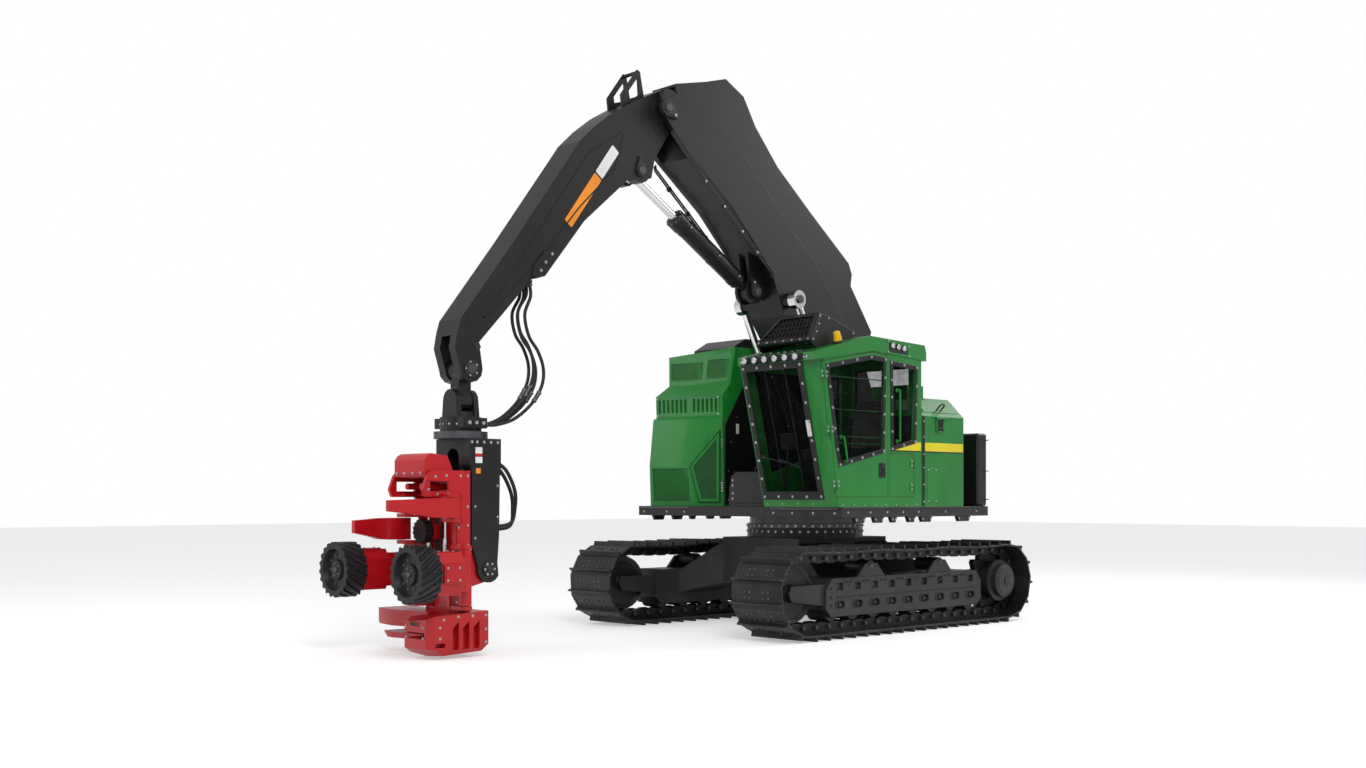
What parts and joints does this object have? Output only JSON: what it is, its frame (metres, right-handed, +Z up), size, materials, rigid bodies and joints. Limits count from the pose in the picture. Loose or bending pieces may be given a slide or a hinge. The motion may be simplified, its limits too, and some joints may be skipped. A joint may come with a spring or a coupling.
{
  "type": "tracked forestry harvester",
  "caption": "Tracked forestry harvester with a cab on a slewing deck, a knuckle boom and a hanging felling head with feed drums, knives and saw.",
  "frame": {"origin": "centre of the bounding box's bottom, on the ground", "axes": "+X forward along the tracks towards the felling head, +Y to the machine's left, +Z up"},
  "size_m": [8.1296, 3.34, 6.186],
  "materials": {
    "green_paint": "gloss green enamel",
    "black_paint": "satin black enamel",
    "red_paint": "gloss red enamel",
    "track_steel": "worn dark track steel",
    "bare_steel": "machined steel",
    "rod_chrome": "hard chrome",
    "window_glass": "tinted polycarbonate pane",
    "seat_cloth": "woven seat cloth",
    "cab_plastic": "grained plastic"
  },
  "bodies": {
    "undercarriage": {"idler_left": "track_steel", "idler_right": "track_steel", "sprocket_left": "black_paint", "sprocket_right": "black_paint", "track_frame_left": "black_paint", "track_frame_right": "black_paint", "track_left": "track_steel", "track_right": "track_steel", "car_body": "black_paint"},
    "upper": {"cab_roof": "green_paint", "cab_shell": "black_paint", "control_consoles": "cab_plastic", "counterweight": "black_paint", "deck": "black_paint", "engine_block": "bare_steel", "engine_housing": "green_paint", "left_compartment": "green_paint", "operator_seat": "seat_cloth", "rear_window": "window_glass", "right_window": "window_glass", "roof_guard": "black_paint", "seat_base": "cab_plastic", "side_window": "window_glass", "slew_ring": "bare_steel", "windscreen": "window_glass"},
    "cab_door": {"cab_door": "green_paint", "door_glass": "window_glass"},
    "cab_hatch": {"cab_hatch": "black_paint"},
    "grille_door": {"grille_door": "black_paint"},
    "boom": {"boom": "black_paint", "boom_hose_guard": "black_paint"},
    "lift_barrel_left": {"lift_barrel_left": "green_paint"},
    "lift_rod_left": {"lift_rod_left": "rod_chrome"},
    "lift_barrel_right": {"lift_barrel_right": "green_paint"},
    "lift_rod_right": {"lift_rod_right": "rod_chrome"},
    "crowd_barrel": {"crowd_barrel": "green_paint"},
    "crowd_rod": {"crowd_rod": "rod_chrome"},
    "stick": {"stick": "black_paint"},
    "swing_link": {"swing_link": "black_paint"},
    "rotator_box": {"rotator_box": "black_paint"},
    "hanger": {"hanger": "black_paint", "rotator": "bare_steel"},
    "head": {"head_frame": "red_paint", "saw_box": "red_paint"},
    "saw": {"saw_bar": "bare_steel"},
    "feed_arm_left": {"feed_arm_left": "red_paint"},
    "feed_arm_right": {"feed_arm_right": "red_paint"},
    "feed_drum_left": {"feed_drum_left": "black_paint"},
    "feed_drum_right": {"feed_drum_right": "black_paint"},
    "knife_left": {"knife_left": "red_paint"},
    "knife_right": {"knife_right": "red_paint"}
  },
  "joints": [
    {"name": "slew", "type": "hinge", "parent": "undercarriage", "child": "upper", "pos_m": [-1.78519, 0, 1.27], "axis": [0, 0, 1], "continuous": true},
    {"name": "boom_lift", "type": "hinge", "parent": "upper", "child": "boom", "pos_m": [-3.03519, -0.15, 2.1], "axis": [0, -1, 0], "range_deg": [-35, 8]},
    {"name": "lift_tilt_left", "type": "hinge", "parent": "upper", "child": "lift_barrel_left", "pos_m": [-2.40519, 0.28, 1.64], "axis": [0, -1, 0], "range_deg": [-37.75, 9.4]},
    {"name": "lift_stroke_left", "type": "slide", "parent": "lift_barrel_left", "child": "lift_rod_left", "axis": [0.4522, 0, 0.8919], "range_m": [-0.4733, 0.1159]},
    {"name": "lift_tilt_right", "type": "hinge", "parent": "upper", "child": "lift_barrel_right", "pos_m": [-2.40519, -0.58, 1.64], "axis": [0, -1, 0], "range_deg": [-37.75, 9.4]},
    {"name": "lift_stroke_right", "type": "slide", "parent": "lift_barrel_right", "child": "lift_rod_right", "axis": [0.4522, 0, 0.8919], "range_m": [-0.4733, 0.1159]},
    {"name": "stick_crowd", "type": "hinge", "parent": "boom", "child": "stick", "pos_m": [0.57481, -0.15, 5.66], "axis": [0, -1, 0], "range_deg": [-25, 40]},
    {"name": "crowd_tilt", "type": "hinge", "parent": "boom", "child": "crowd_barrel", "pos_m": [-0.97519, -0.15, 3.86], "axis": [0, -1, 0], "range_deg": [-3, 2.25]},
    {"name": "crowd_stroke", "type": "slide", "parent": "crowd_barrel", "child": "crowd_rod", "axis": [0.8583, 0, 0.5131], "range_m": [-0.3225, 0.51]},
    {"name": "link_swing", "type": "hinge", "parent": "stick", "child": "swing_link", "pos_m": [3.04481, -0.15, 2.72], "axis": [0, 1, 0], "range_deg": [-60, 60]},
    {"name": "link_sway", "type": "hinge", "parent": "swing_link", "child": "rotator_box", "pos_m": [3.04481, -0.15, 2.42], "axis": [1, 0, 0], "range_deg": [-30, 30]},
    {"name": "head_rotate", "type": "hinge", "parent": "rotator_box", "child": "hanger", "pos_m": [3.04481, -0.15, 2.05], "axis": [0, 0, 1], "continuous": true},
    {"name": "head_tilt", "type": "hinge", "parent": "hanger", "child": "head", "pos_m": [2.91481, -0.15, 0.8], "axis": [0, 1, 0], "range_deg": [0, 90]},
    {"name": "feed_arm_swing_left", "type": "hinge", "parent": "head", "child": "feed_arm_left", "pos_m": [3.31481, 0.31, 0.8], "axis": [0, 0, -1], "range_deg": [-5, 28]},
    {"name": "feed_drum_spin_left", "type": "hinge", "parent": "feed_arm_left", "child": "feed_drum_left", "pos_m": [4.06481, 0.48, 0.8], "axis": [1, 0, 0], "continuous": true},
    {"name": "knife_swing_left", "type": "hinge", "parent": "head", "child": "knife_left", "pos_m": [3.41481, 0.28, 1.265], "axis": [0, 0, -1], "range_deg": [-10, 45]},
    {"name": "feed_arm_swing_right", "type": "hinge", "parent": "head", "child": "feed_arm_right", "pos_m": [3.31481, -0.61, 0.8], "axis": [0, 0, 1], "range_deg": [-5, 28]},
    {"name": "feed_drum_spin_right", "type": "hinge", "parent": "feed_arm_right", "child": "feed_drum_right", "pos_m": [4.06481, -0.78, 0.8], "axis": [1, 0, 0], "continuous": true},
    {"name": "knife_swing_right", "type": "hinge", "parent": "head", "child": "knife_right", "pos_m": [3.41481, -0.58, 1.425], "axis": [0, 0, 1], "range_deg": [-10, 45]},
    {"name": "saw_swing", "type": "hinge", "parent": "head", "child": "saw", "pos_m": [3.26481, 0.25, 0.22], "axis": [0, 0, 1], "range_deg": [0, 90]},
    {"name": "cab_door_swing", "type": "hinge", "parent": "upper", "child": "cab_door", "pos_m": [-0.30818, 1.6, 2.2], "axis": [-0.1681, 0, -0.9858], "range_deg": [0, 85]},
    {"name": "cab_hatch_swing", "type": "hinge", "parent": "upper", "child": "cab_hatch", "pos_m": [-1.89919, 1.6, 1.7], "axis": [0, 0, 1], "range_deg": [0, 100]},
    {"name": "grille_door_swing", "type": "hinge", "parent": "upper", "child": "grille_door", "pos_m": [-0.80519, -0.94, 1.9], "axis": [0, 0, -1], "range_deg": [0, 95]}
  ],
  "couplings": [
    {"joint": "crowd_tilt", "follows": "stick_crowd", "ratio": -0.05},
    {"joint": "crowd_stroke", "follows": "stick_crowd", "m_per_rad": 0.7162},
    {"joint": "lift_tilt_left", "follows": "boom_lift", "ratio": 1.05},
    {"joint": "lift_stroke_left", "follows": "boom_lift", "m_per_rad": 0.7584},
    {"joint": "lift_tilt_right", "follows": "boom_lift", "ratio": 1.05},
    {"joint": "lift_stroke_right", "follows": "boom_lift", "m_per_rad": 0.7584}
  ]
}
